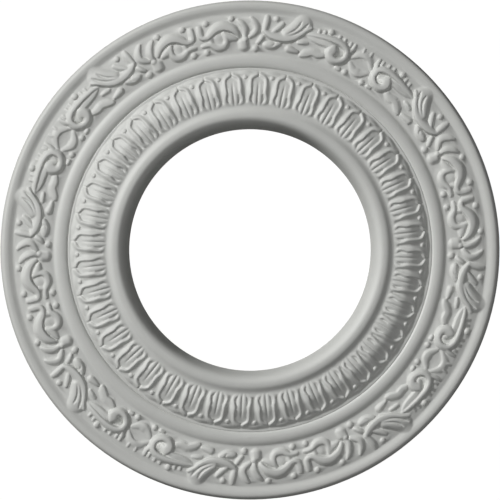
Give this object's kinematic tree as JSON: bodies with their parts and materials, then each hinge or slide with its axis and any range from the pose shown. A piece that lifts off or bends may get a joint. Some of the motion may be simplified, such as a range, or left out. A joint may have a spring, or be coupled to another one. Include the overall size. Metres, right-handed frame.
{
  "type": "ceiling rose",
  "caption": "Round moulded ceiling rose: a flat-backed ring with a scrolled leaf frieze, a bead, a band of tongue leaves and a smooth lip round an open centre for a light fitting.",
  "frame": {"origin": "centre of the flat back, on the axis of the open bore", "axes": "+Z along the ring's axis out of the carved face, which looks down once the rose is on a ceiling; +Y towards the top of the picture"},
  "size_m": [0.257, 0.257, 0.016],
  "materials": {
    "primed_casting": "factory-primed polyurethane casting, pale warm grey, satin"
  },
  "bodies": {
    "root": {"ceiling_rose": "primed_casting"}
  },
  "joints": []
}
